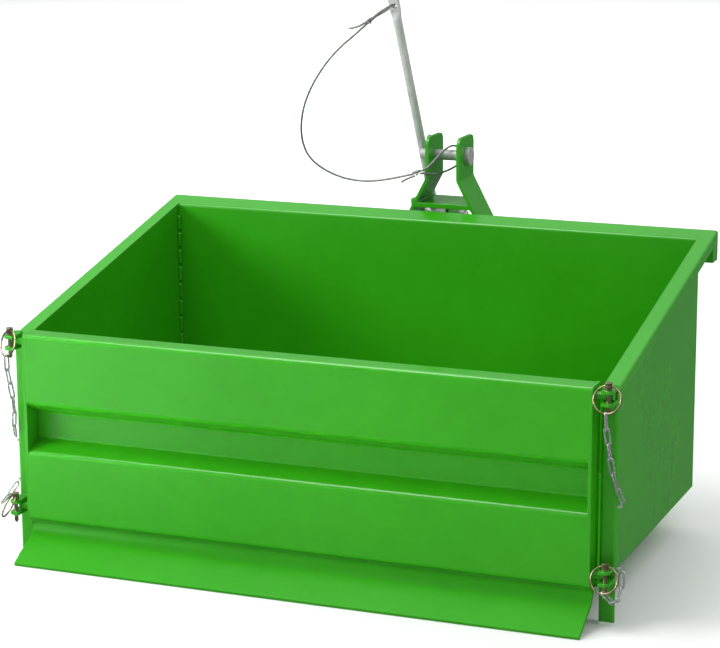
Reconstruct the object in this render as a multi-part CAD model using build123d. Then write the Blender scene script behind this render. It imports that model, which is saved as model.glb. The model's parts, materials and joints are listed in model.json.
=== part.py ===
from build123d import *
import math
import os

os.makedirs("parts", exist_ok=True)

# Rear transport box for a compact tractor, with a category 1 three point hitch.
# Millimetres. +Z up, the tailgate faces -Y, the tractor side is +Y, X across.
# The solids are laid out in a drawing frame whose Y = 0 is the front face of the
# tailgate, and are then shifted so the origin is the centre of the footprint.

# ---------------------------------------------------------------- dimensions
SHEET = 3.0                 # wall, floor, tailgate and rim sheet
HALF_W = 508.0              # half width over the corner posts and side rims
WALL_OUT = 485.0            # outer face of a side wall
WALL_IN = WALL_OUT - SHEET
GATE_HALF = 477.0           # half width of the tailgate
GATE_END = 5.0              # thickness of its end plates
GATE_T = 40.0               # depth of the folded tailgate
GATE_Z0, GATE_Z1 = 64.0, 375.0
RECESS_OUT = (178.0, 261.0)  # pressed recess, heights at the front face
RECESS_IN = (195.0, 240.0)   # heights at the recess floor
RECESS_D = 37.0

POST_Y = 30.0               # front face of the corner posts
POST_LIP = 17.0             # depth of the fold behind the post's outer edge
POST_FOOT = 4.0             # underside of the posts
FLOOR_Z = 58.0              # underside of the floor sheet
BACK_Y = 590.0              # inner face of the back wall
BAR_Y0, BAR_Y1 = 598.0, 630.0
BAR_Z0 = 449.0
RIM_Z0 = 367.0              # top of the rim at the posts
RIM_RISE = (499.0 - RIM_Z0) / (BAR_Y1 - POST_Y)
RIM_LIP = 19.0

BLADE_T = 5.0
BLADE_TIP_Y = -49.23

STUD_R = 6.0
STUD_Y = 14.0
STUD_UP, STUD_LOW = 360.0, 83.0
FORK_X0, FORK_X1 = 491.0, 508.0
FORK_GAP = 14.0
FORK_T = 5.0
FORK_Y0 = -6.0
FORK_CUT = 5.0
PIN_X, PIN_Y = 500.0, 3.0
PIN_R = 3.25
RING_R, RING_WIRE = 20.8, 1.5

EAR_Y0, EAR_Y1 = 667.0, 745.0
EAR_MID = 29.0              # centre plane of an upright ear, 52 between the ears
EAR_T = 6.0
EAR_TOP = 624.0
EAR_BEND = 549.0
SPLAY = math.radians(27.8)
TOP_PIN_Y, TOP_PIN_Z, TOP_PIN_R = 708.0, 588.0, 9.5
TUBE_Y, TUBE_Z, TUBE_R, TUBE_WALL = 724.0, 85.0, 24.0, 4.0
TUBE_HALF = 333.5
LINK_R = 11.0               # category 1 lower link pin, 22 across
LINK_SHOULDER = 341.5       # 683 over the shoulders
LINK_END = 402.0
LUG_X, LUG_T = 200.0, 10.0
RUNNER_X = 290.0

PIVOT_Y, PIVOT_Z = 804.0, 462.0
LEVER_X = -62.0
LEVER_R = 8.0
LEVER_TOP = (LEVER_X, 594.0, 863.0)
CATCH_X, CATCH_Y, CATCH_Z, CATCH_R = -35.0, 668.0, 392.0, 7.0
ROPE_R = 2.0

# shift from the drawing frame to the row's frame
ORIGIN = (-2.82, 388.78, 0.0)


# ------------------------------------------------------------------- helpers
def V(*a):
    return Vector(*a)


LOW, HIGH = [1e9] * 3, [-1e9] * 3


def save(name, *shapes):
    solids = []
    for s in shapes:
        if isinstance(s, (list, tuple, ShapeList)):
            for q in s:
                solids += list(q.solids())
        else:
            solids += list(s.solids())
    move = Location((-ORIGIN[0], -ORIGIN[1], -ORIGIN[2]))
    solids = [s.moved(move) for s in solids]
    out = solids[0] if len(solids) == 1 else Compound(solids)
    out.label = name
    if not name.startswith("rope_"):
        bb = out.bounding_box()
        for i, (a, b) in enumerate(zip(bb.min, bb.max)):
            LOW[i], HIGH[i] = min(LOW[i], a), max(HIGH[i], b)
    export_step(out, f"parts/{name}.step")


def box(x0, x1, y0, y1, z0, z1):
    b = Solid.make_box(abs(x1 - x0), abs(y1 - y0), abs(z1 - z0))
    return b.moved(Location((min(x0, x1), min(y0, y1), min(z0, z1))))


def cyl(p, direction, r, length):
    return Solid.make_cylinder(r, length, Plane(origin=p, z_dir=direction))


def mirror_x(s):
    return s.mirror(Plane.YZ)


YZ = Plane(origin=(0, 0, 0), x_dir=(0, 1, 0), z_dir=(1, 0, 0))
XZ = Plane(origin=(0, 0, 0), x_dir=(1, 0, 0), z_dir=(0, -1, 0))


def polygon_face(pts, plane):
    w = Wire.make_polygon([V(a, b, 0) for a, b in pts], close=True)
    return Face(w).moved(plane.location)


def prism(pts, plane, start, direction):
    """A polygon in a plane, moved to start and extruded along a vector."""
    f = polygon_face(pts, plane).moved(Location(start))
    return Solid.extrude(f, V(*direction))


def bent(pts, t, r, plane, start, direction):
    """Folded sheet: the centre line through pts with bend radius r, thickness t."""
    n = len(pts)
    segs = []
    tang = [0.0] * n
    for i in range(1, n - 1):
        a = V(pts[i - 1][0] - pts[i][0], pts[i - 1][1] - pts[i][1], 0).normalized()
        b = V(pts[i + 1][0] - pts[i][0], pts[i + 1][1] - pts[i][1], 0).normalized()
        half = math.acos(max(-1, min(1, a.dot(b)))) / 2
        rr = r[i - 1] if isinstance(r, (list, tuple)) else r
        tang[i] = rr / math.tan(half)
        c = (a + b).normalized() * (rr / math.sin(half))
        segs.append((i, a, b, V(pts[i][0], pts[i][1], 0) + c, rr))

    def side(sign):
        chain = []
        last = None
        for k in range(n - 1):
            p, q = V(pts[k][0], pts[k][1], 0), V(pts[k + 1][0], pts[k + 1][1], 0)
            d = (q - p).normalized()
            nrm = V(-d.Y, d.X, 0) * (sign * t / 2)
            p1 = p + d * tang[k] + nrm
            q1 = q - d * tang[k + 1] + nrm
            if last is not None:
                i, a, b, c, rr = segs[k - 1]
                s0, s1 = last - c, p1 - c
                mid = (s0 + s1).normalized() * s0.length
                chain.append(Edge.make_three_point_arc(last, c + mid, p1))
            chain.append(Edge.make_line(p1, q1))
            last = q1
        return chain

    left, right = side(1), side(-1)
    e = list(left)
    e.append(Edge.make_line(left[-1] @ 1, right[-1] @ 1))
    e += list(right)
    e.append(Edge.make_line(right[0] @ 0, left[0] @ 0))
    f = Face(Wire.combine(e)[0]).moved(plane.location).moved(Location(start))
    return Solid.extrude(f, V(*direction))


def route(points, name=None, cap=None):
    """Straight runs joined by tangent arcs, each as large as its two runs allow."""
    radii = []
    for i in range(1, len(points) - 1):
        a, b, c = V(*points[i - 1]), V(*points[i]), V(*points[i + 1])
        turn = math.radians((b - a).get_angle(c - b))
        rad = 0.45 * min((b - a).length, (c - b).length) / math.tan(turn / 2)
        radii.append(min(rad, cap) if cap else rad)
    line = FilletPolyline(*points, radius=radii)
    if name:
        print(name, "length", round(line.length, 1), "radii", [round(x) for x in radii])
    return line


def tube(points, r, name=None, cap=None):
    line = route(points, name, cap)
    start = line @ 0
    face = Plane(origin=start, z_dir=line % 0) * Circle(r)
    s = sweep(face, path=line)
    if name:
        print("  volume", round(s.volume, 1), "section x length", round(math.pi * r * r * line.length, 1))
    return s


def rim_top(y):
    return RIM_Z0 + RIM_RISE * (y - POST_Y)


def above(y0, y1, drop):
    """Everything above the rim plane lowered by drop, as a cutting solid."""
    return prism(
        [(y0, rim_top(y0) - drop), (y1, rim_top(y1) - drop), (y1, 900), (y0, 900)],
        YZ, (-700, 0, 0), (1400, 0, 0))


# ----------------------------------------------------------------------- tub
floor = box(-WALL_IN, WALL_IN, POST_Y, BACK_Y, FLOOR_Z, FLOOR_Z + SHEET) + \
    box(-GATE_HALF, GATE_HALF, 14.0, POST_Y, FLOOR_Z, FLOOR_Z + SHEET)
save("floor_pan", floor)

# side wall folded outwards at the front into the corner post, with a return lip
m = SHEET / 2
wall = bent([(HALF_W - m, POST_Y + POST_LIP), (HALF_W - m, POST_Y + m), (WALL_OUT - m, POST_Y + m),
             (WALL_OUT - m, BACK_Y + SHEET)], SHEET, [3.5, 4.5], Plane.XY, (0, 0, POST_FOOT), (0, 0, 500))
wall = wall - above(0, 650, SHEET)
wall = wall - box(470, 520, POST_Y + 16, 700, 0, FLOOR_Z)
wall = wall - box(502, 520, POST_Y + SHEET, 60, 0, 79.0)
save("side_wall_right", wall)
save("side_wall_left", mirror_x(wall))

# sloping rim: flange on top of the side wall with a lip on its outer edge
rim = bent([(WALL_IN, RIM_Z0 - m), (HALF_W - m, RIM_Z0 - m), (HALF_W - m, RIM_Z0 - RIM_LIP)], SHEET, 3.0,
           XZ, (0, POST_Y, 0), (0, BAR_Y1 - POST_Y, RIM_RISE * (BAR_Y1 - POST_Y)))
rim = rim - prism([(BAR_Y0, 400), (BAR_Y1 + 5, 400), (BAR_Y1 + 5, rim_top(BAR_Y1 + 5) - SHEET),
                   (BAR_Y0, rim_top(BAR_Y0) - SHEET)], YZ, (450, 0, 0), (100, 0, 0))
# the post's own fold passes below the rim, so the rim lip starts behind it
yl = POST_Y + POST_LIP
rim = rim - prism([(POST_Y - 1, 330), (yl, 330), (yl, rim_top(yl) - SHEET), (POST_Y - 1, rim_top(POST_Y - 1) - SHEET)],
                  YZ, (WALL_OUT - 5, 0, 0), (40, 0, 0))
save("rim_right", rim)
save("rim_left", mirror_x(rim))

# back wall, folded over the rear bar at the top
zb = rim_top(BACK_Y)
back = bent([(BACK_Y + m, FLOOR_Z), (BACK_Y + m, rim_top(BACK_Y + m) - m * 1.02),
             (BAR_Y1, rim_top(BAR_Y1) - m * 1.02)], SHEET, 4.0, YZ, (-WALL_IN, 0, 0), (2 * WALL_IN, 0, 0))
save("back_wall", back)

cut = 3.3
bar_pts = [(BAR_Y0, BAR_Z0), (BAR_Y1, BAR_Z0), (BAR_Y1, rim_top(BAR_Y1) - cut), (BAR_Y0, rim_top(BAR_Y0) - cut)]
bar_in = [(BAR_Y0 + 3, BAR_Z0 + 3), (BAR_Y1 - 3, BAR_Z0 + 3), (BAR_Y1 - 3, rim_top(BAR_Y1 - 3) - cut - 3),
          (BAR_Y0 + 3, rim_top(BAR_Y0 + 3) - cut - 3)]
bar = prism(bar_pts, YZ, (-HALF_W + 3, 0, 0), (2 * HALF_W - 6, 0, 0)) - \
    prism(bar_in, YZ, (-HALF_W, 0, 0), (2 * HALF_W, 0, 0))
save("rear_bar", bar)
cap_r = prism(bar_pts, YZ, (HALF_W - 3, 0, 0), (3, 0, 0))
save("rear_bar_caps", cap_r, mirror_x(cap_r))

# spacers that carry the rear bar on the back wall
sp = [box(x - 20, x + 20, BACK_Y + SHEET, BAR_Y0, BAR_Z0 + 5, BAR_Z0 + 35) for x in (-440, -220, 0, 220, 440)]
save("bar_spacers", *sp)

# scraper blade: short and steep under the floor, then one long slope to its edge on the ground
blade = bent([(23.0, FLOOR_Z), (15.5, 38.0), (BLADE_TIP_Y, 2.19)], BLADE_T, 30.0, YZ,
             (-GATE_HALF, 0, 0), (2 * GATE_HALF, 0, 0))
blade = blade - box(-600, 600, -20, 60, FLOOR_Z, FLOOR_Z + 20)
save("scraper_blade", blade)

# folded channels under the floor
runner = bent([(-25, FLOOR_Z), (-25, 21.5), (25, 21.5), (25, FLOOR_Z)], SHEET, 4.0, XZ,
              (RUNNER_X, 40, 0), (0, 548, 0))
save("floor_runner_right", runner)
save("floor_runner_left", mirror_x(runner))

# pivot lugs: feet of the box at the back and bearings of the hitch tube
lug_pts = [(500, FLOOR_Z), (500, 40), (530, 0), (746, 0), (760, 24), (760, 112), (736, 130), (664, 150),
           (BACK_Y + SHEET, 178), (BACK_Y + SHEET, FLOOR_Z)]
lug = prism(lug_pts, YZ, (LUG_X - LUG_T / 2, 0, 0), (LUG_T, 0, 0))
lug = lug - cyl((LUG_X - 20, TUBE_Y, TUBE_Z), (1, 0, 0), TUBE_R + 0.05, 40)
save("pivot_lug_right", lug)
save("pivot_lug_left", mirror_x(lug))

# striker for the latch hook: a round bar between two ears on the back wall
ear = prism([(BACK_Y + SHEET, 352), (BACK_Y + SHEET, 432), (CATCH_Y, CATCH_Z + 14), (CATCH_Y + 13, CATCH_Z + 3),
             (CATCH_Y + 13, CATCH_Z - 6), (CATCH_Y, CATCH_Z - 14)], YZ, (0, 0, 0), (6, 0, 0))
ears = []
for x in (CATCH_X - 21, CATCH_X + 15):
    e = ear.moved(Location((x, 0, 0)))
    ears.append(e - cyl((x - 5, CATCH_Y, CATCH_Z), (1, 0, 0), CATCH_R, 20))
save("catch_ears", *ears)
save("catch_bar", cyl((CATCH_X - 21, CATCH_Y, CATCH_Z), (1, 0, 0), CATCH_R, 42))


# rubber buffers on the rear bar that the two legs of the headstock lean on
save("stop_buffers", *[box(x - 13, x + 13, BAR_Y1, EAR_Y0 - 0.5, 456, 484) for x in (-74, 74)])


# ------------------------------------------------------ forks for the linch pins
def fork(zc):
    h = FORK_GAP / 2
    up = box(FORK_X0, FORK_X1, FORK_Y0, POST_Y, zc + h, zc + h + FORK_T)
    lo = box(FORK_X0, FORK_X1, FORK_Y0, POST_Y, zc - h - FORK_T, zc - h)
    web = box(FORK_X0, FORK_X1, POST_Y - 4, POST_Y, zc - h, zc + h)
    f = up + lo + web
    # the outer front corners are cut off, so that the pull rings pass them
    f = f - prism([(FORK_X1 - FORK_CUT, FORK_Y0 - 1), (FORK_X1 + 1, FORK_Y0 - 1), (FORK_X1 + 1, FORK_Y0 + FORK_CUT + 1),
                   (FORK_X1, FORK_Y0 + FORK_CUT), (FORK_X1 - FORK_CUT, FORK_Y0)], Plane.XY, (0, 0, zc - 40), (0, 0, 80))
    return f - cyl((PIN_X, PIN_Y, zc - 40), (0, 0, 1), PIN_R + 0.35, 80)


for nm, z in (("upper", STUD_UP), ("lower", STUD_LOW)):
    f = fork(z)
    save(f"pin_fork_{nm}_right", f)
    save(f"pin_fork_{nm}_left", mirror_x(f))

# ------------------------------------------------------------------- tailgate
g = SHEET / 2
panel = bent([(GATE_T - g, GATE_Z1 - 32), (GATE_T - g, GATE_Z1 - g), (g, GATE_Z1 - g), (g, RECESS_OUT[1]),
              (RECESS_D + g, RECESS_IN[1]), (RECESS_D + g, RECESS_IN[0]), (g, RECESS_OUT[0]),
              (g, GATE_Z0 + g), (GATE_T - g, GATE_Z0 + g), (GATE_T - g, GATE_Z0 + 32)],
             SHEET, [3, 6, 8, 6, 6, 8, 6, 3], YZ, (-GATE_HALF + GATE_END, 0, 0),
             (2 * (GATE_HALF - GATE_END), 0, 0))
save("gate_panel", panel)
plate = box(GATE_HALF - GATE_END, GATE_HALF, 0, GATE_T, GATE_Z0, GATE_Z1)
edges = [e for e in plate.edges() if abs(e.center().Y) < 0.01 and e.length < GATE_END + 0.1]
plate = plate.fillet(6.5, edges)
save("gate_end_right", plate)
save("gate_end_left", mirror_x(plate))
su = cyl((GATE_HALF, STUD_Y, STUD_UP), (1, 0, 0), STUD_R, 29.0)
sl = cyl((GATE_HALF, STUD_Y, STUD_LOW), (1, 0, 0), STUD_R, 18.8)
save("gate_studs_upper", su, mirror_x(su))
save("gate_studs_lower", sl, mirror_x(sl))


# ------------------------------------------------- linch pins, rings and chains
def linch(zc, tangent):
    low = zc - FORK_GAP / 2 - FORK_T - 14
    top = zc + FORK_GAP / 2 + FORK_T + 0.3
    shaft = cyl((PIN_X, PIN_Y, low + 3), (0, 0, 1), PIN_R, top - low - 3)
    tip = Solid.make_cone(1.6, PIN_R, 3, Plane(origin=(PIN_X, PIN_Y, low), z_dir=(0, 0, 1)))
    head = cyl((PIN_X, PIN_Y, top), (0, 0, 1), 5.5, 11.5)
    s = shaft + tip + head
    t = V(*tangent).normalized()
    hole = V(PIN_X, PIN_Y, top + 6.5)
    s = s - cyl(hole - t * 10, t, 2.5, 20)
    return s, hole


def ring_at(hole, tangent, down):
    d = V(*down).normalized()
    t = V(*tangent)
    t = (t - d * t.dot(d)).normalized()
    return Solid.make_torus(RING_R, RING_WIRE, Plane(origin=hole + d * RING_R, x_dir=t, z_dir=t.cross(d)))


a19 = math.radians(19)
SIDES = {
    "upper_right": (STUD_UP, (1, 0, 0), (0, -math.sin(a19), -math.cos(a19)), 1),
    "upper_left": (STUD_UP, (math.cos(math.radians(30)), math.sin(math.radians(30)), 0),
                   (0.0, -math.sin(a19), -math.cos(a19)), -1),
    "lower_right": (STUD_LOW, (1, 0, 0), (0.02, -math.sin(a19), -math.cos(a19)), 1),
    "lower_left": (STUD_LOW, (0.6, 0.8, 0), (0.55, -0.15, -0.82), -1),
}
for nm, (zc, tan, down, sgn) in SIDES.items():
    t2 = V(*tan)
    dd = V(*down).normalized()
    if nm in ("upper_left", "lower_left"):
        t2 = t2 - dd * t2.dot(dd)
    pin, hole = linch(zc, (t2.X, t2.Y, t2.Z))
    ring = ring_at(hole, tan, down)
    if sgn < 0:
        pin, ring = mirror_x(pin), mirror_x(ring)
    save(f"linch_pin_{nm}", pin)
    save(f"pull_ring_{nm}", ring)

CHAINS = {
    "upper_right": [(499, -10, 332), (502, 4, 286), (502, 15, 258), (505, 20, 234), (513, 26, 210), (516, 37, 193)],
    "upper_left": [(-503, -9, 332), (-505, 6, 290), (-504, 15, 256), (-506, 19, 226), (-513, 27, 204), (-516, 37, 193)],
    "lower_right": [(510, -14, 57), (514, 0, 45), (518, 18, 43), (519, 33, 58), (517, 39, 82)],
    "lower_left": [(-514, -10, 92), (-520, 2, 92), (-519, 20, 100), (-516, 38, 112)],
}
for nm, pts in CHAINS.items():
    save(f"chain_{nm}", tube(pts, 3.0, None, 30))

eyes = []
for sgn, z in ((1, 186), (-1, 186), (1, 89.5), (-1, 119)):
    t = Solid.make_torus(5.0, 1.6, Plane(origin=(HALF_W, POST_Y + 9, z), z_dir=(0, 0, 1)))
    t = t - box(HALF_W - 20, HALF_W, 0, 90, 0, 500)
    eyes.append(t if sgn > 0 else mirror_x(t))
save("chain_eyes", *eyes)

# ------------------------------------------------------------------- headstock
k = math.tan(SPLAY)
leg_low = 92.0
leg = bent([(EAR_MID, EAR_TOP), (EAR_MID, EAR_BEND), (EAR_MID + (EAR_BEND - leg_low) * k, leg_low)],
           EAR_T, 12.0, XZ, (0, EAR_Y0, 0), (0, EAR_Y1 - EAR_Y0, 0))
tops = [e for e in leg.edges() if e.center().Z > EAR_TOP - 0.5 and abs(e.center().X - EAR_MID) < 0.1]
leg = leg.fillet(14.0, tops)
leg = leg - cyl((0, TOP_PIN_Y, TOP_PIN_Z), (1, 0, 0), TOP_PIN_R + 0.25, 60)
leg = leg - cyl((0, TUBE_Y, TUBE_Z), (1, 0, 0), TUBE_R, 400)
leg = leg - box(100, 400, 0, 900, 0, TUBE_Z)
save("hitch_leg_right", leg)
save("hitch_leg_left", mirror_x(leg))


def inner(z):
    return EAR_MID - EAR_T / 2 / math.cos(SPLAY) + (EAR_BEND - z) * k


PL0, PL1 = 498.0, 506.0
cp = prism([(-inner(PL0), PL0), (inner(PL0), PL0), (inner(PL1), PL1), (-inner(PL1), PL1)], XZ,
           (0, EAR_Y0, 0), (0, 91, 0))
save("cross_plate", cp)

tubec = cyl((-TUBE_HALF, TUBE_Y, TUBE_Z), (1, 0, 0), TUBE_R, 2 * TUBE_HALF) - \
    cyl((-TUBE_HALF, TUBE_Y, TUBE_Z), (1, 0, 0), TUBE_R - TUBE_WALL, 2 * TUBE_HALF)
save("hitch_tube", tubec)
lp = cyl((TUBE_HALF, TUBE_Y, TUBE_Z), (1, 0, 0), 28.0, LINK_SHOULDER - TUBE_HALF) + \
    cyl((LINK_SHOULDER, TUBE_Y, TUBE_Z), (1, 0, 0), LINK_R, LINK_END - LINK_SHOULDER - 3) + \
    Solid.make_cone(LINK_R, LINK_R - 3, 3, Plane(origin=(LINK_END - 3, TUBE_Y, TUBE_Z), z_dir=(1, 0, 0))) + \
    cyl((TUBE_HALF - 30, TUBE_Y, TUBE_Z), (1, 0, 0), TUBE_R - TUBE_WALL, 30)
save("link_pin_right", lp)
save("link_pin_left", mirror_x(lp))

# gussets between the legs and the hitch tube
gx = EAR_MID + (EAR_BEND - 118) * k
gus = prism([(gx - 40, TUBE_Z + TUBE_R), (inner(TUBE_Z + TUBE_R), TUBE_Z + TUBE_R), (inner(175), 175)], XZ,
            (0, TUBE_Y - 3, 0), (0, 6, 0))
save("leg_gussets", gus, mirror_x(gus))

# top link pin with its head on the right and a spring clip on the left
tp = cyl((-54, TOP_PIN_Y, TOP_PIN_Z), (1, 0, 0), TOP_PIN_R, 54 + EAR_MID + 3.2) + \
    cyl((EAR_MID + 3.2, TOP_PIN_Y, TOP_PIN_Z), (1, 0, 0), 16.0, 8)
tp = tp - cyl((-43, TOP_PIN_Y, TOP_PIN_Z - 30), (0, 0, 1), 2.4, 60)
save("top_link_pin", tp)
clip = cyl((-43, TOP_PIN_Y, TOP_PIN_Z - 24), (0, 0, 1), 1.9, 44)
clip_arc = tube([(-43, TOP_PIN_Y, TOP_PIN_Z + 20), (-43, TOP_PIN_Y, TOP_PIN_Z + 29), (-43, TOP_PIN_Y + 9, TOP_PIN_Z + 34),
                 (-43, TOP_PIN_Y + 18, TOP_PIN_Z + 26), (-43, TOP_PIN_Y + 15, TOP_PIN_Z + 12),
                 (-43, TOP_PIN_Y + 13.5, TOP_PIN_Z - 4), (-43, TOP_PIN_Y + 15, TOP_PIN_Z - 22)], 1.9, None, 6)
save("pin_clip", (clip + clip_arc))

# bracket for the release lever: base plate under the cross plate and two cheeks
base = box(-88, -16, EAR_Y1 + 0.2, 770, PL0 - 8, PL0)
save("lever_bracket_base", base)
cheek_pts = [(746, PL0 - 8), (770, PL0 - 8), (818, 482), (826, 462), (814, 446), (794, 444), (746, 474)]
cheeks = []
for x in (-88, -22):
    c = prism(cheek_pts, YZ, (x, 0, 0), (6, 0, 0))
    cheeks.append(c - cyl((x - 5, PIVOT_Y, PIVOT_Z), (1, 0, 0), 8.0, 20))
save("lever_bracket_cheeks", *cheeks)
hexa = Plane(origin=(-88, PIVOT_Y, PIVOT_Z), z_dir=(-1, 0, 0)) * RegularPolygon(13.5, 6)
bolt = cyl((-88, PIVOT_Y, PIVOT_Z), (1, 0, 0), 8.0, 88) + extrude(hexa, 9)
save("lever_pivot_bolt", bolt)
hexn = Plane(origin=(-16, PIVOT_Y, PIVOT_Z), z_dir=(1, 0, 0)) * RegularPolygon(13.5, 6)
save("lever_pivot_nut", extrude(hexn, 12) - cyl((-20, PIVOT_Y, PIVOT_Z), (1, 0, 0), 8.0, 30))

# ------------------------------------------------------------- release lever
top = V(*LEVER_TOP)
piv = V(LEVER_X, PIVOT_Y, PIVOT_Z)
ax = (top - piv).normalized()
flat_from = top - ax * 26
rod = cyl(piv + ax * 5, ax, LEVER_R, (flat_from - piv).length - 5)
rod = rod - cyl((LEVER_X - 50, PIVOT_Y, PIVOT_Z), (1, 0, 0), 15.0, 100)
pl = Plane(origin=flat_from, x_dir=(1, 0, 0), z_dir=ax)
taper = loft([pl * Circle(LEVER_R), Plane(origin=flat_from + ax * 12, x_dir=(1, 0, 0), z_dir=ax) * RectangleRounded(20, 6, 2.5)])
flat = extrude(Plane(origin=flat_from + ax * 12, x_dir=(1, 0, 0), z_dir=ax) * RectangleRounded(20, 6, 2.5), 26)
nrm = ax.cross(V(1, 0, 0)).normalized()
hole = cyl(top - nrm * 20, nrm, 5.5, 40)
lever = (rod + taper + flat) - hole
save("lever_rod", lever)
sleeve = cyl((-81, PIVOT_Y, PIVOT_Z), (1, 0, 0), 15.0, 58) - cyl((-90, PIVOT_Y, PIVOT_Z), (1, 0, 0), 8.06, 90)
save("lever_sleeve", sleeve)
hook_pts = [(790, 476), (683, 430), (650, 421), (644, 402.0), (657, 402.0), (662, 410), (676, 411), (684, 402),
            (700, 398), (796, 440)]
hook = prism(hook_pts, YZ, (CATCH_X - 5, 0, 0), (10, 0, 0)) + \
    cyl((CATCH_X - 5, PIVOT_Y, PIVOT_Z), (1, 0, 0), 24.0, 10)
hook = hook - cyl((CATCH_X - 20, PIVOT_Y, PIVOT_Z), (1, 0, 0), 15.0, 60)
save("latch_hook", hook)

# ----------------------------------------------------------------- wire rope
C1 = V(-107, 590, 833)
D1 = V(-0.76, 0.09, -0.64).normalized()
C2 = V(-44, 656, 561)
D2 = V(-0.965, -0.07, -0.25).normalized()


def clamp(c, d):
    p = Plane(origin=c - d * 6, x_dir=V(0, 1, 0) - d * V(0, 1, 0).dot(d), z_dir=d)
    return Solid.extrude(Face(Wire.make_polygon([V(-8, -5, 0), V(8, -5, 0), V(8, 5, 0), V(-8, 5, 0)], close=True)).moved(p.location), d * 12)


def side(c, d, *o):
    """a point beside c, square to the direction d"""
    o = V(*o)
    o = o - d * o.dot(d)
    return (c.X + o.X, c.Y + o.Y, c.Z + o.Z)


def pt(c, *o):
    q = V(*c) + V(*o)
    return (q.X, q.Y, q.Z)


S0 = C1 + D1 * 6.2
S1 = C2 + D2 * 6.2
STRAND = [(S0.X, S0.Y, S0.Z), (-138, 594, 807), (-167.5, 598, 784), (-199, 603.5, 751), (-229.5, 610.5, 707),
          (-248, 617, 662), (-252, 623, 615), (-237, 628, 578), (-194, 635.5, 551.5), (-146, 642, 542),
          (-96, 649, 547), (S1.X, S1.Y, S1.Z)]
save("rope_strand", tube(STRAND, ROPE_R, "rope_strand"))
save("rope_clamp_upper", clamp(C1, D1))
save("rope_clamp_lower", clamp(C2, D2))

E0 = C1 - D1 * 6.2
E1 = C1 - D1 * 14.0
EYE_TOP = [side(E0, D1, 0, -3.2, 0), side(E1, D1, 0, -3.2, 0), (-84, 580, 851), (-67, 580, 861), (-61.5, 594, 864), (-67, 609, 862),
           (-84, 606, 850), side(E1, D1, 0, 3.2, 0), side(E0, D1, 0, 3.2, 0)]
TAIL_TOP = [side(S0, D1, 0, -3.6, 4.4), side(S0 + D1 * 13, D1, 0, -3.6, 4.4), (-144, 587, 820)]
save("rope_eye_upper", tube(EYE_TOP, ROPE_R, "rope_eye_upper"), tube(TAIL_TOP, ROPE_R, "rope_tail_upper"))
F0 = C2 - D2 * 6.2
F1 = C2 - D2 * 14.0
EYE_LOW = [side(F0, D2, 0, 0, 2.4), side(F1, D2, 0, 0, 2.4), (-19, 667, 578), (-6, 684, 598), (6, 706, 608), (14, 727, 598),
           (15, 729, 574), (2, 704, 562), (-17, 671, 557), side(F1, D2, 0, 0, -2.4), side(F0, D2, 0, 0, -2.4)]
TAIL_LOW = [side(S1, D2, 0, 0, -4.6), side(S1 + D2 * 11, D2, 0, 0, -4.6), (-71, 652, 544)]
save("rope_eye_lower", tube(EYE_LOW, ROPE_R, "rope_eye_lower"), tube(TAIL_LOW, ROPE_R, "rope_tail_lower"))

print("footprint centre off by", [round((a + b) / 2, 2) for a, b in zip(LOW, HIGH)][:2], "low", round(LOW[2], 3))
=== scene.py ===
import bpy, bmesh, math, json, random
from mathutils import Vector, Matrix, noise


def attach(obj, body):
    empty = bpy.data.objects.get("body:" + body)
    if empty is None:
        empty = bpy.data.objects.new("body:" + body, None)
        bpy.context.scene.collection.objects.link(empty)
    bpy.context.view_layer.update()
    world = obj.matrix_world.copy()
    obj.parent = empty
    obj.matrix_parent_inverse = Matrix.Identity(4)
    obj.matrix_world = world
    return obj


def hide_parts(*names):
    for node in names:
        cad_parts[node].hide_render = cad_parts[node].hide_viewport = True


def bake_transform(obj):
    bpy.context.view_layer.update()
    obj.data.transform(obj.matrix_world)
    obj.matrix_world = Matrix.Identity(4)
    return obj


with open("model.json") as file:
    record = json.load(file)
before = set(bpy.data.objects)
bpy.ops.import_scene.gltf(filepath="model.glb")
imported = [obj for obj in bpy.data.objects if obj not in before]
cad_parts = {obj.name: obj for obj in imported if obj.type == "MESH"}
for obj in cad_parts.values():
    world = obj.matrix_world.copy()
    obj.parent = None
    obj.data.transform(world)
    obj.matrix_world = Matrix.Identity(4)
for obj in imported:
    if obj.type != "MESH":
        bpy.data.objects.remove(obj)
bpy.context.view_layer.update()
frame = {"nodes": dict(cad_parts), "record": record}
scene = bpy.context.scene
NODES = frame["nodes"]

# ------------------------------------------------------------------ the camera
F_PX, AZ, PITCH, ROLL = 2412.0, math.radians(21.852), math.radians(12.95), math.radians(-0.2355)
cam_data = bpy.data.cameras.new("camera")
cam = bpy.data.objects.new("camera", cam_data)
scene.collection.objects.link(cam)
cam_data.sensor_width = 36.0
cam_data.lens = F_PX / 720.0 * 36.0
cam_data.clip_start, cam_data.clip_end = 0.1, 60.0
fw = Vector((-math.sin(AZ) * math.cos(PITCH), math.cos(AZ) * math.cos(PITCH), -math.sin(PITCH)))
rt0 = Vector((math.cos(AZ), math.sin(AZ), 0))
up0 = rt0.cross(fw)
rt = rt0 * math.cos(ROLL) + up0 * math.sin(ROLL)
up = up0 * math.cos(ROLL) - rt0 * math.sin(ROLL)
cam.matrix_world = Matrix(((rt.x, up.x, -fw.x, 1.43705), (rt.y, up.y, -fw.y, -3.69130), (rt.z, up.z, -fw.z, 1.25852), (0, 0, 0, 1)))
scene.camera = cam


# -------------------------------------------------------------------- materials
def nodes_of(name):
    m = bpy.data.materials.new(name)
    m.use_nodes = True
    nt = m.node_tree
    nt.nodes.clear()
    out = nt.nodes.new("ShaderNodeOutputMaterial")
    b = nt.nodes.new("ShaderNodeBsdfPrincipled")
    nt.links.new(b.outputs[0], out.inputs[0])
    return m, nt, b


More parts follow.
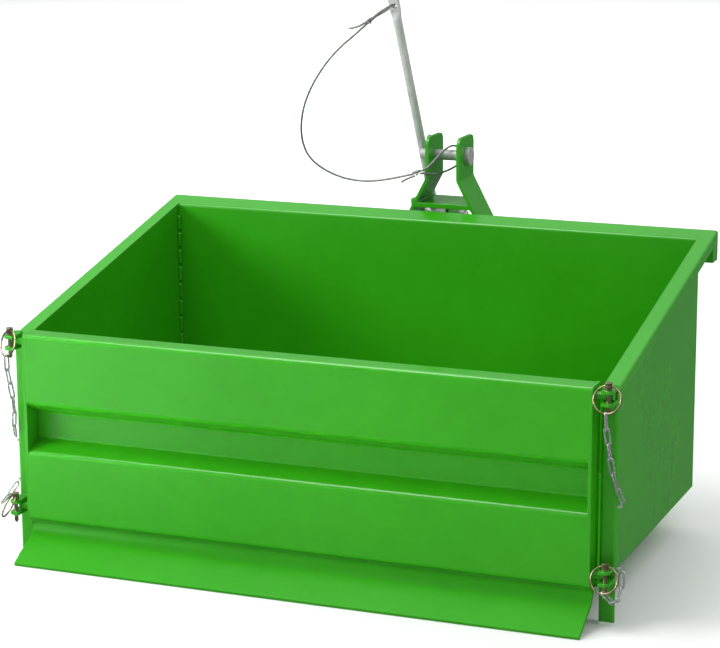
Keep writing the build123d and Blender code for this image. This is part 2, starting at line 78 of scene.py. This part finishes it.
def ramp(nt, fac, stops):
    r = nt.nodes.new("ShaderNodeValToRGB")
    el = r.color_ramp.elements
    while len(el) < len(stops):
        el.new(0.5)
    for e, (p, c) in zip(el, stops):
        e.position, e.color = p, (*c, 1) if len(c) == 3 else (c[0], c[0], c[0], 1)
    nt.links.new(fac, r.inputs[0])
    return r.outputs[0]


def noise_tex(nt, vec, scale, detail=3.0, rough=0.5, distortion=0.0):
    n = nt.nodes.new("ShaderNodeTexNoise")
    n.inputs["Scale"].default_value = scale
    n.inputs["Detail"].default_value = detail
    n.inputs["Roughness"].default_value = rough
    n.inputs["Distortion"].default_value = distortion
    nt.links.new(vec, n.inputs["Vector"])
    return n.outputs[0]


def mixc(nt, fac, a, b, blend="MIX"):
    x = nt.nodes.new("ShaderNodeMix")
    x.data_type = "RGBA"
    x.blend_type = blend
    for sock, v in ((x.inputs[0], fac), (x.inputs[6], a), (x.inputs[7], b)):
        if isinstance(v, (int, float)):
            sock.default_value = v
        elif isinstance(v, tuple):
            sock.default_value = (*v, 1)
        else:
            nt.links.new(v, sock)
    return x.outputs[2]


def math_node(nt, op, a, b=0.0, c=None):
    x = nt.nodes.new("ShaderNodeMath")
    x.operation = op
    for sock, v in zip(x.inputs, (a, b, c)):
        if v is None:
            continue
        if isinstance(v, (int, float)):
            sock.default_value = v
        else:
            nt.links.new(v, sock)
    return x.outputs[0]


def bump(nt, height, strength, distance, normal=None):
    x = nt.nodes.new("ShaderNodeBump")
    x.inputs["Strength"].default_value = strength
    x.inputs["Distance"].default_value = distance
    nt.links.new(height, x.inputs["Height"])
    if normal is not None:
        nt.links.new(normal, x.inputs["Normal"])
    return x.outputs[0]


def edge_mask(nt, radius):
    """Bright where the surface bends: the rounded normal against the true one."""
    bev = nt.nodes.new("ShaderNodeBevel")
    bev.samples = 4
    bev.inputs["Radius"].default_value = radius
    geo = nt.nodes.new("ShaderNodeNewGeometry")
    dot = nt.nodes.new("ShaderNodeVectorMath")
    dot.operation = "DOT_PRODUCT"
    nt.links.new(bev.outputs[0], dot.inputs[0])
    nt.links.new(geo.outputs["Normal"], dot.inputs[1])
    inv = math_node(nt, "SUBTRACT", 1.0, dot.outputs["Value"])
    k = math_node(nt, "MULTIPLY", inv, 7.0)
    clamp = nt.nodes.new("ShaderNodeClamp")
    nt.links.new(k, clamp.inputs[0])
    return bev.outputs[0], clamp.outputs[0]


def make_paint(name, deep, light, fold_highlight, rough=0.23, speck=0.6):
    """Gloss powder coat: faint blotches, orange peel, a painted highlight along the folds (a lighter colour where the
    surface bends), a few dust grains.
    """
    m, nt, b = nodes_of(name)
    tc = nt.nodes.new("ShaderNodeTexCoord")
    vec = tc.outputs["Object"]
    bev, edge = edge_mask(nt, 0.0016)
    big = noise_tex(nt, vec, 3.1, 3.0, 0.55)
    mid = noise_tex(nt, vec, 26.0, 4.0, 0.6)
    base = mixc(nt, ramp(nt, big, [(0.32, (0.0,)), (0.70, (1.0,))]), deep, light)
    fine = ramp(nt, mid, [(0.30, (0.96, 0.975, 0.95)), (0.68, (1.03, 1.02, 1.03))])
    base = mixc(nt, 1.0, base, fine, "MULTIPLY")
    grain = noise_tex(nt, vec, 900.0, 2.0, 0.5)
    # painted highlight: a lighter colour mixed in along the folds and edges, patchy by noise
    fold_highlight_mask = math_node(nt, "MULTIPLY", edge, ramp(nt, noise_tex(nt, vec, 18.0, 2.0, 0.5), [(0.35, (0.16,)), (0.65, (0.45,))]))
    base = mixc(nt, fold_highlight_mask, base, fold_highlight)
    dust = ramp(nt, noise_tex(nt, vec, 420.0, 1.0, 0.4), [(0.735, (0.0,)), (0.80, (0.35 * speck,))])
    base = mixc(nt, dust, base, (0.10, 0.34, 0.06))
    nt.links.new(base, b.inputs["Base Color"])
    r = ramp(nt, noise_tex(nt, vec, 9.0, 4.0, 0.62), [(0.28, (rough - 0.015,)), (0.74, (rough + 0.03,))])
    nt.links.new(r, b.inputs["Roughness"])
    b.inputs["Coat Weight"].default_value = 0.12
    b.inputs["Coat Roughness"].default_value = 0.12
    b.inputs["IOR"].default_value = 1.5
    b.inputs["Specular IOR Level"].default_value = 0.5
    peel = noise_tex(nt, vec, 260.0, 2.0, 0.5)
    wave = noise_tex(nt, vec, 14.0, 2.0, 0.5)
    n1 = bump(nt, wave, 0.02, 0.003, bev)
    n2 = bump(nt, peel, 0.035, 0.0005, n1)
    n3 = bump(nt, grain, 0.025, 0.0002, n2)
    nt.links.new(n3, b.inputs["Normal"])
    return m


def make_zinc(name, dark, light, rough=0.36, streak=(1, 1, 1), scale=160.0, metallic=0.9, tint=(0.80, 0.78, 0.74)):
    """Zinc plated or galvanised steel: cloudy grey, fine drawn streaks and small dull stains."""
    m, nt, b = nodes_of(name)
    tc = nt.nodes.new("ShaderNodeTexCoord")
    mp = nt.nodes.new("ShaderNodeMapping")
    mp.inputs["Scale"].default_value = streak
    nt.links.new(tc.outputs["Object"], mp.inputs[0])
    vec = mp.outputs[0]
    bev, edge = edge_mask(nt, 0.0008)
    cloud = noise_tex(nt, vec, scale * 0.45, 4.0, 0.6)
    fine = noise_tex(nt, vec, scale * 4, 3.0, 0.65)
    base = mixc(nt, ramp(nt, cloud, [(0.30, (0.0,)), (0.70, (1.0,))]), dark, light)
    base = mixc(nt, 0.35, base, ramp(nt, fine, [(0.3, (0.45, 0.45, 0.45)), (0.7, (1.25, 1.25, 1.25))]), "MULTIPLY")
    stain = ramp(nt, noise_tex(nt, vec, scale * 0.9, 5.0, 0.7), [(0.60, (0.0,)), (0.74, (0.45,))])
    base = mixc(nt, stain, base, tuple(d * 0.55 for d in dark))
    base = mixc(nt, math_node(nt, "MULTIPLY", edge, 0.5), base, tint)
    nt.links.new(base, b.inputs["Base Color"])
    b.inputs["Metallic"].default_value = metallic
    nt.links.new(ramp(nt, cloud, [(0.25, (rough - 0.08,)), (0.75, (rough + 0.14,))]), b.inputs["Roughness"])
    n1 = bump(nt, fine, 0.12, 0.0002, bev)
    n2 = bump(nt, cloud, 0.10, 0.0005, n1)
    nt.links.new(n2, b.inputs["Normal"])
    return m


def make_rubber(name):
    m, nt, b = nodes_of(name)
    tc = nt.nodes.new("ShaderNodeTexCoord")
    vec = tc.outputs["Object"]
    a = noise_tex(nt, vec, 60.0, 4.0, 0.6)
    f = noise_tex(nt, vec, 700.0, 2.0, 0.5)
    base = mixc(nt, ramp(nt, a, [(0.35, (0.0,)), (0.68, (1.0,))]), (0.018, 0.018, 0.018), (0.05, 0.05, 0.048))
    nt.links.new(base, b.inputs["Base Color"])
    nt.links.new(ramp(nt, a, [(0.3, (0.62,)), (0.7, (0.82,))]), b.inputs["Roughness"])
    nt.links.new(bump(nt, f, 0.3, 0.0004), b.inputs["Normal"])
    return m


# the fourth colour of each paint is a painted highlight laid along its folds and edges
GREEN = make_paint("paint_green", (0.026, 0.315, 0.004), (0.032, 0.350, 0.006), (0.13, 0.58, 0.08))
BLADE = make_paint("paint_blade", (0.026, 0.315, 0.004), (0.032, 0.350, 0.006), (0.10, 0.52, 0.05), 0.34)
blade_shader = next(n for n in BLADE.node_tree.nodes if n.type == "BSDF_PRINCIPLED")
blade_shader.inputs["Specular IOR Level"].default_value = 0.16
blade_shader.inputs["Coat Weight"].default_value = 0.0
WELD = make_paint("paint_weld", (0.024, 0.30, 0.004), (0.031, 0.335, 0.006), (0.07, 0.45, 0.03), 0.28)
GALV = make_zinc("zinc_steel", (0.37, 0.375, 0.38), (0.52, 0.525, 0.53), 0.38, (1, 1, 0.25), 150.0, 0.22)
LEVER = make_zinc("zinc_lever", (0.52, 0.515, 0.52), (0.70, 0.695, 0.70), 0.40, (1, 1, 0.25), 150.0, 0.10)
YELLOW = make_zinc("yellow_zinc", (0.36, 0.29, 0.15), (0.62, 0.53, 0.34), 0.24, (1, 1, 1), 420.0, 1.0, (0.92, 0.84, 0.62))
CHAIN = make_zinc("bright_chain", (0.42, 0.43, 0.44), (0.74, 0.75, 0.76), 0.20, (1, 1, 1), 380.0, 0.7, (0.95, 0.95, 0.95))
ROPE = make_zinc("wire_rope", (0.13, 0.135, 0.14), (0.26, 0.265, 0.27), 0.38, (1, 1, 1), 500.0, 0.9)
RUBBER = make_rubber("rubber")
SLOT = {"green_paint": GREEN, "zinc_steel": GALV, "yellow_zinc": YELLOW, "bright_chain": CHAIN, "wire_rope": ROPE, "rubber": RUBBER}
slot_of = {s["node"]: s["material_slot"] for s in frame["record"]["subparts"]}
for name, o in NODES.items():
    mat = {"scraper_blade": BLADE, "lever_rod": LEVER}.get(name, SLOT[slot_of[name]])
    if o.material_slots:
        for s in o.material_slots:
            s.material = mat
    else:
        o.data.materials.append(mat)


# ---------------------------------------------------------------- mesh helpers
OX, OY = 0.00282, -0.38878


def row(p):
    """Drawing millimetres to the row frame in metres."""
    return Vector((p[0] / 1000 + OX, p[1] / 1000 + OY, p[2] / 1000))


def new_piece(name, bm, body, mat, smooth=True):
    me = bpy.data.meshes.new(name)
    bmesh.ops.recalc_face_normals(bm, faces=bm.faces[:])
    bm.to_mesh(me)
    bm.free()
    if smooth:
        me.polygons.foreach_set("use_smooth", [True] * len(me.polygons))
    me.materials.append(mat)
    o = bpy.data.objects.new(name, me)
    scene.collection.objects.link(o)
    if body:
        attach(o, body)
    return o


def nurbs(name, pts):
    """Points read along the NURBS spline of a route."""
    cu = bpy.data.curves.new(name, "CURVE")
    cu.dimensions = "3D"
    cu.resolution_u = 16
    sp = cu.splines.new("NURBS")
    sp.points.add(len(pts) - 1)
    for p, q in zip(sp.points, pts):
        p.co = (*q, 1)
    sp.order_u = 3
    sp.use_endpoint_u = True
    o = bpy.data.objects.new(name, cu)
    scene.collection.objects.link(o)
    bpy.context.view_layer.update()
    me = bpy.data.meshes.new_from_object(o.evaluated_get(bpy.context.evaluated_depsgraph_get()))
    line = [v.co.copy() for v in me.vertices]
    bpy.data.objects.remove(o)
    bpy.data.meshes.remove(me)
    return line


def evenly(line, step):
    """The same line at an even spacing of about step."""
    cum = [0.0]
    for a, b in zip(line, line[1:]):
        cum.append(cum[-1] + (b - a).length)
    n = max(2, int(round(cum[-1] / step)))
    out, k = [], 0
    for i in range(n + 1):
        s = cum[-1] * i / n
        while k < len(cum) - 2 and cum[k + 1] < s:
            k += 1
        seg = cum[k + 1] - cum[k]
        t = 0 if seg < 1e-9 else (s - cum[k]) / seg
        out.append(line[k].lerp(line[k + 1], min(1, max(0, t))))
    return out, cum[-1]


def frames(line, start_up=Vector((0, 0, 1))):
    """Direction and two cross axes at each point, carried along without twist."""
    out = []
    n = len(line)
    u = None
    for i in range(n):
        t = (line[min(i + 1, n - 1)] - line[max(i - 1, 0)]).normalized()
        if u is None:
            u = start_up - t * start_up.dot(t)
            if u.length < 1e-4:
                u = Vector((1, 0, 0)) - t * t.x
        u = (u - t * u.dot(t)).normalized()
        out.append((t, u, t.cross(u)))
    return out


def tube_mesh(bm, line, radius, sides=8, cap=True, start_up=Vector((0, 0, 1))):
    """A round tube along points; radius is a number or one number for each point."""
    fr = frames(line, start_up)
    rings = []
    for i, (p, (t, u, w)) in enumerate(zip(line, fr)):
        r = radius[i] if isinstance(radius, (list, tuple)) else radius
        rings.append([bm.verts.new(p + u * (r * math.cos(2 * math.pi * k / sides)) + w * (r * math.sin(2 * math.pi * k / sides)))
                      for k in range(sides)])
    for a, b in zip(rings, rings[1:]):
        for k in range(sides):
            bm.faces.new((a[k], a[(k + 1) % sides], b[(k + 1) % sides], b[k]))
    if cap:
        bm.faces.new(rings[0][::-1])
        bm.faces.new(rings[-1])
    return rings


def loop_mesh(bm, line, radius, sides=10):
    """A closed ring of round wire through points."""
    n = len(line)
    c = sum(line, Vector()) / n
    nrm = Vector()
    for i in range(n):
        nrm += (line[i] - c).cross(line[(i + 1) % n] - c)
    nrm.normalize()
    rings = []
    for i in range(n):
        t = (line[(i + 1) % n] - line[i - 1]).normalized()
        w = nrm
        u = t.cross(w)
        rings.append([bm.verts.new(line[i] + u * (radius * math.cos(2 * math.pi * k / sides)) + w * (radius * math.sin(2 * math.pi * k / sides)))
                      for k in range(sides)])
    for i in range(n):
        a, b = rings[i], rings[(i + 1) % n]
        for k in range(sides):
            bm.faces.new((a[k], a[(k + 1) % sides], b[(k + 1) % sides], b[k]))


def strands(bm, line, radius, count=6, lay=0.026, sides=6, core=True):
    """Wire rope: a core with strands wound round it."""
    pts, length = evenly(line, lay / 14)
    fr = frames(pts)
    rs = radius * 0.36
    cum = 0.0
    paths = [[] for _ in range(count)]
    for i, (p, (t, u, w)) in enumerate(zip(pts, fr)):
        if i:
            cum += (p - pts[i - 1]).length
        for k in range(count):
            a = 2 * math.pi * (cum / lay + k / count)
            paths[k].append(p + u * ((radius - rs) * math.cos(a)) + w * ((radius - rs) * math.sin(a)))
    for pth in paths:
        tube_mesh(bm, pth, rs, sides)
    if core:
        tube_mesh(bm, pts, radius * 0.72, 6)
    return pts, length


# -------------------------------------------------------------------- the rope
V = Vector
C1, C2 = V((-107, 590, 833)), V((-44, 656, 561))
D1, D2 = V((-0.76, 0.09, -0.64)).normalized(), V((-0.965, -0.07, -0.25)).normalized()
S0, S1 = C1 + D1 * 6.2, C2 + D2 * 6.2
STRAND = [S0, (-138, 594, 807), (-167.5, 598, 784), (-199, 603.5, 751), (-229.5, 610.5, 707),
          (-248, 617, 662), (-252, 623, 615), (-237, 628, 578), (-194, 635.5, 551.5), (-146, 642, 542),
          (-96, 649, 547), S1]
line = nurbs("rope_route", [row(p) for p in STRAND])
bm = bmesh.new()
path, rope_length = strands(bm, line, 0.002)
rope = new_piece("wire_rope_strand", bm, None, ROPE)
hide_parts("rope_strand")
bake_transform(rope)


def side(c, d, *o):
    o = V(o)
    return c + o - d * o.dot(d)


E0, E1 = C1 - D1 * 6.2, C1 - D1 * 14.0
F0, F1 = C2 - D2 * 6.2, C2 - D2 * 14.0
EYE_TOP = [side(C1 + D1 * 6, D1, 0, -3.2, 0), side(C1, D1, 0, -3.2, 0), side(E0, D1, 0, -3.2, 0), side(E1, D1, 0, -3.2, 0),
           (-84, 580, 851), (-67, 580, 861), (-61.5, 594, 864), (-67, 609, 862), (-84, 606, 850),
           side(E1, D1, 0, 3.2, 0), side(E0, D1, 0, 3.2, 0), side(C1, D1, 0, 3.2, 0), side(C1 + D1 * 6, D1, 0, 3.2, 0)]
TAIL_TOP = [side(S0 - D1 * 2, D1, 0, -3.6, 4.4), side(S0 + D1 * 13, D1, 0, -3.6, 4.4), (-144, 587, 820)]
EYE_LOW = [side(F0, D2, 0, 0, 2.4), side(F1, D2, 0, 0, 2.4), (-19, 667, 578), (-6, 684, 598), (6, 706, 608), (14, 727, 598),
           (15, 729, 574), (2, 704, 562), (-17, 671, 557), side(F1, D2, 0, 0, -2.4), side(F0, D2, 0, 0, -2.4)]
TAIL_LOW = [side(S1 - D2 * 2, D2, 0, 0, -4.6), side(S1 + D2 * 11, D2, 0, 0, -4.6), (-71, 652, 544)]


def rope_piece(name, pts, body):
    bm = bmesh.new()
    way, length = strands(bm, nurbs(name, [row(p) for p in pts]), 0.002)
    return new_piece(name, bm, body, ROPE), way, length


eye_up, _, _ = rope_piece("wire_rope_eye_upper", EYE_TOP, "release_lever")
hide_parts("rope_eye_upper")
tail_up, _, _ = rope_piece("wire_rope_tail_upper", TAIL_TOP, "release_lever")
eye_low, eye_low_path, eye_low_length = rope_piece("wire_rope_eye_lower", EYE_LOW, "headstock")
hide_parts("rope_eye_lower")
tail_low, _, _ = rope_piece("wire_rope_tail_lower", TAIL_LOW, "headstock")


def oriented(c, d, y):
    """Axes of a small part: z along d, x near y."""
    z = d.normalized()
    x = (y - z * y.dot(z)).normalized()
    yy = z.cross(x)
    m = Matrix(((x.x, yy.x, z.x, c.x), (x.y, yy.y, z.y, c.y), (x.z, yy.z, z.z, c.z), (0, 0, 0, 1)))
    return m


def rope_clip(name, c, d, node, body):
    """Wire rope clip: forged saddle, U bolt over the two strands, two hex nuts. Stays inside its solid."""
    m = oriented(row(c), d, V((0, 1, 0)))
    bm = bmesh.new()

    def block(x0, x1, y0, y1, z0, z1, bev=0.0007):
        g = bmesh.ops.create_cube(bm, size=1.0)
        for v in g["verts"]:
            v.co = V(((x0 + x1) / 2 + v.co.x * (x1 - x0), (y0 + y1) / 2 + v.co.y * (y1 - y0), (z0 + z1) / 2 + v.co.z * (z1 - z0)))
        es = list({e for v in g["verts"] for e in v.link_edges})
        bmesh.ops.bevel(bm, geom=es, offset=bev, segments=2, profile=0.6, affect="EDGES")

    block(-0.0078, 0.0078, -0.0049, -0.0017, -0.0058, 0.0058, 0.0011)
    block(-0.0018, 0.0018, -0.0018, 0.0006, -0.0056, 0.0056, 0.0005)
    r = 0.0011
    pts = [V((-0.0058, -0.0049, 0))]
    for k in range(13):
        a = math.pi - math.pi * k / 12
        pts.append(V((0.0058 * math.cos(a), -0.0010 + 0.0046 * math.sin(a), 0)))
    pts.append(V((0.0058, -0.0049, 0)))
    tube_mesh(bm, pts, r, 10, True, V((0, 0, 1)))
    for x in (-0.0058, 0.0058):
        g = bmesh.ops.create_cone(bm, cap_ends=True, segments=6, radius1=0.0021, radius2=0.0021, depth=0.0018)
        for v in g["verts"]:
            v.co = V((x + v.co.x, -0.0040 + v.co.z * 1.0, v.co.y))
    bmesh.ops.transform(bm, matrix=m, verts=bm.verts[:])
    o = new_piece(name, bm, body, GALV, smooth=False)
    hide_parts(node)
    return o


clips = [rope_clip("rope_clip_upper", C1, D1, "rope_clamp_upper", "release_lever"),
         rope_clip("rope_clip_lower", C2, D2, "rope_clamp_lower", "headstock")]


# ------------------------------------------------------------------ link chains
CHAINS = {
    "upper_right": [(499, -10, 332), (502, 4, 286), (502, 15, 258), (505, 20, 234), (512.4, 26, 210), (515.2, 37, 193)],
    "upper_left": [(-503, -9, 332), (-505, 6, 290), (-504, 15, 256), (-506, 19, 226), (-513, 27, 204), (-516, 37, 193)],
    "lower_right": [(510, -14, 57), (514, 0, 45), (517, 18, 43), (517.6, 33, 58), (516.6, 39, 82)],
    "lower_left": [(-514, -10, 92), (-520, 2, 92), (-519, 20, 100), (-516, 38, 112)],
}


# where the first link holds on to its ring, and the direction of the ring's wire there
HOLDS = {
    "upper_right": ((500, -10.5, 340.0), (1, 0, 0)),
    "upper_left": ((-500, -10.5, 340.0), (math.cos(math.radians(30)), -math.sin(math.radians(30)), 0)),
    "lower_right": ((501.0, -10.6, 63.0), (1, 0, 0)),
    "lower_left": ((-517.0, -10.0, 92.0), (0.3, 0.5, -0.8)),
}


def link_chain(nm, pts):
    """Welded long links of 2.8 mm wire, each turned a quarter against the next."""
    hold, along = HOLDS[nm]
    pts = [hold, *pts]
    ln = nurbs("chain_route", [row(p) for p in pts])
    _, total = evenly(ln, 0.001)
    n = max(2, int(round(total / 0.0245)))
    pitch = total / n
    wide, wire = 0.0036, 0.0014
    straight = pitch / 2 - wide + wire
    stops, _ = evenly(ln, pitch)
    rng = random.Random(sum(map(ord, nm)))
    bm = bmesh.new()
    first = None
    for i in range(len(stops) - 1):
        a, b = stops[i], stops[i + 1]
        mid, z = (a + b) / 2, (b - a).normalized()
        if first is None:
            first = z.cross(V(along)).normalized()
        x = (first - z * first.dot(z)).normalized()
        ang = (math.pi / 2 if i % 2 else 0) + (rng.uniform(-0.24, 0.24) if i else 0)
        x = Matrix.Rotation(ang, 3, z) @ x
        loop = []
        for k in range(32):
            t = 2 * math.pi * (k + 0.5) / 32
            cx, cz = math.cos(t), math.sin(t)
            loop.append(mid + x * (wide * cx) + z * (wide * cz + (straight if cz > 0 else -straight)))
        loop_mesh(bm, loop, wire, 10)
    o = new_piece(f"link_chain_{nm}", bm, None, CHAIN)
    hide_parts(f"chain_{nm}")
    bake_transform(o)
    return o


for nm, pts in CHAINS.items():
    link_chain(nm, pts)


# ------------------------------------------------------------------- weld beads
def weld(name, runs, body, r=0.0026):
    """Weld beads: round ripples piled along each run, flattened where they meet the plates."""
    rng = random.Random(len(name) * 7 + 3)
    bm = bmesh.new()
    for a, b in runs:
        a, b = row(a), row(b)
        length = (b - a).length
        n = max(4, int(length / 0.0011))
        pts, rad = [], []
        ph = rng.uniform(0, 6)
        for i in range(n + 1):
            s = i / n
            x = s * length
            ripple = 0.5 + 0.5 * math.sin(2 * math.pi * x / 0.0042 + ph)
            big = noise.noise(V((x * 60, ph, 3.3)))
            rr = r * (0.80 + 0.14 * ripple + 0.16 * big)
            if i == 0 or i == n:
                rr *= 0.35
            elif i == 1 or i == n - 1:
                rr *= 0.8
            pts.append(a.lerp(b, s) + V((noise.noise(V((x * 35, 1, ph))), noise.noise(V((x * 35, 5, ph))), noise.noise(V((x * 35, 9, ph))))) * r * 0.14)
            rad.append(rr)
        tube_mesh(bm, pts, rad, 8)
    return new_piece(name, bm, body, WELD)


RIM_RISE = (499.0 - 367.0) / 600.0
z_back = 367 + RIM_RISE * (590 - 30) - 6
corner = []
for sgn in (-1, 1):
    z = 64.0
    while z < z_back - 18:
        corner.append(((sgn * 480.4, 588.4, z), (sgn * 480.4, 588.4, min(z + 27, z_back - 2))))
        z += 31.5
weld("weld_tub_corners", corner, "tub", 0.0040)
floor_runs = []
for sgn in (-1, 1):
    for y0, y1 in ((60, 110), (200, 250), (340, 390), (480, 530)):
        floor_runs.append(((sgn * 481.0, y0, 61.8), (sgn * 481.0, y1, 61.8)))
for x0, x1 in ((-420, -360), (-190, -130), (40, 100), (270, 330)):
    floor_runs.append(((x0, 589, 61.8), (x1, 589, 61.8)))
weld("weld_tub_floor", floor_runs, "tub", 0.0026)
fork_runs = []
for zc in (360, 83):
    for sgn in (-1, 1):
        for dz in (7 + 5 + 0.6, -7 - 5 - 0.6):
            fork_runs.append(((sgn * 492, 29.2, zc + dz), (sgn * 507, 29.2, zc + dz)))
weld("weld_forks", fork_runs, "tub", 0.0018)
gate_runs = []
for sgn in (-1, 1):
    x = sgn * 471.6
    gate_runs += [((x, 2.8, 259), (x, 37, 240)), ((x, 38.5, 238), (x, 38.5, 198)), ((x, 37, 195), (x, 2.8, 179))]
weld("weld_gate_recess", gate_runs, "tailgate", 0.0017)
stud_runs = []
for sgn in (-1, 1):
    for z in (360, 83):
        ring = []
        for k in range(13):
            a = 2 * math.pi * k / 12
            ring.append((sgn * 477.4, 14 + 6.1 * math.cos(a), z + 6.1 * math.sin(a)))
        stud_runs += list(zip(ring, ring[1:]))
weld("weld_gate_studs", stud_runs, "tailgate", 0.0014)
k = math.tan(math.radians(27.8))


def inner(z):
    return 29 - 3 / math.cos(math.radians(27.8)) + (549 - z) * k


hs = []
for sgn in (-1, 1):
    hs.append(((sgn * (inner(506) - 0.4), 668, 506.8), (sgn * (inner(506) - 0.4), 757, 506.8)))
    hs.append(((sgn * (inner(498) - 0.2), 668, 497.2), (sgn * (inner(498) - 0.2), 744, 497.2)))
weld("weld_cross_plate", hs, "headstock", 0.0024)
hs = []
xl = 29 + (549 - 109) * k
for sgn in (-1, 1):
    for yy in (702.0, 744.4):
        hs.append(((sgn * (xl - 3), yy, 109.4), (sgn * (xl + 3.6), yy, 107.6)))
weld("weld_hitch_tube", hs, "headstock", 0.0026)
blade_runs = []
for x in range(-450, 451, 150):
    blade_runs.append(((x - 24, 26.2, 56.6), (x + 24, 26.2, 56.6)))
weld("weld_blade", blade_runs, "tub", 0.0024)

# ------------------------------------------------------------------- the studio
bm = bmesh.new()
bmesh.ops.create_grid(bm, x_segments=2, y_segments=2, size=14.0)
me = bpy.data.meshes.new("studio_floor")
bm.to_mesh(me)
bm.free()
floor = bpy.data.objects.new("studio_floor", me)
scene.collection.objects.link(floor)
m, nt, b = nodes_of("studio_white")
tc = nt.nodes.new("ShaderNodeTexCoord")
nt.links.new(mixc(nt, noise_tex(nt, tc.outputs["Object"], 0.8, 2.0, 0.5), (0.86, 0.865, 0.87), (0.89, 0.89, 0.895)), b.inputs["Base Color"])
b.inputs["Roughness"].default_value = 0.85
b.inputs["Specular IOR Level"].default_value = 0.2
me.materials.append(m)
floor.visible_glossy = False

world = bpy.data.worlds.new("studio")
scene.world = world
world.use_nodes = True
wt = world.node_tree
bg = wt.nodes.get("Background") or wt.nodes.new("ShaderNodeBackground")
wc = wt.nodes.new("ShaderNodeTexCoord")
ws = wt.nodes.new("ShaderNodeSeparateXYZ")
wt.links.new(wc.outputs["Generated"], ws.inputs[0])
wr = wt.nodes.new("ShaderNodeValToRGB")
wr.color_ramp.elements[0].position, wr.color_ramp.elements[0].color = 0.0, (0.20, 0.20, 0.20, 1)
wr.color_ramp.elements[1].position, wr.color_ramp.elements[1].color = 0.75, (1.0, 1.0, 1.0, 1)
wt.links.new(ws.outputs[2], wr.inputs[0])
wt.links.new(wr.outputs[0], bg.inputs[0])
bg.inputs[1].default_value = 0.72
# what the camera sees past the floor's edge, without lighting anything
seen = wt.nodes.new("ShaderNodeBackground")
seen.inputs[0].default_value = (0.60, 0.60, 0.60, 1)
light_path = wt.nodes.new("ShaderNodeLightPath")
pick = wt.nodes.new("ShaderNodeMixShader")
wt.links.new(light_path.outputs["Is Camera Ray"], pick.inputs[0])
wt.links.new(bg.outputs[0], pick.inputs[1])
wt.links.new(seen.outputs[0], pick.inputs[2])
wt.links.new(pick.outputs[0], wt.nodes["World Output"].inputs["Surface"])


def area(name, loc, at, size, power, color=(1, 1, 1), size_y=None):
    d = bpy.data.lights.new(name, "AREA")
    d.shape = "RECTANGLE"
    d.size, d.size_y = size, size_y or size
    d.energy, d.color = power, color
    o = bpy.data.objects.new(name, d)
    scene.collection.objects.link(o)
    o.location = loc
    o.rotation_euler = (V(at) - V(loc)).to_track_quat("-Z", "Y").to_euler()
    return o


area("key_left_front", (-2.15, -1.75, 1.0), (-0.5, -0.35, 0.15), 0.9, 44, (1.0, 1.0, 1.0), 0.9)
area("top_soft", (-0.8, -0.7, 2.8), (-0.1, -0.1, 0.2), 1.5, 46)
wash = area("floor_wash", (-1.25, -1.55, 1.0), (-1.25, -1.55, 0.0), 0.9, 58)
wash.data.spread = math.radians(80)
area("right_edge", (2.3, -0.2, 2.2), (0.5, 0.0, 0.3), 0.5, 13, (1.0, 1.0, 1.0), 1.6)
back = area("back_floor", (-1.6, 5.6, 3.2), (-1.6, 5.2, 0.0), 6.5, 330, (1.0, 1.0, 1.0), 4.5)
back.visible_glossy = False

scene.view_settings.view_transform = "Standard"
scene.view_settings.look = "None"
scene.view_settings.exposure = 0.0
scene.view_settings.gamma = 1.0
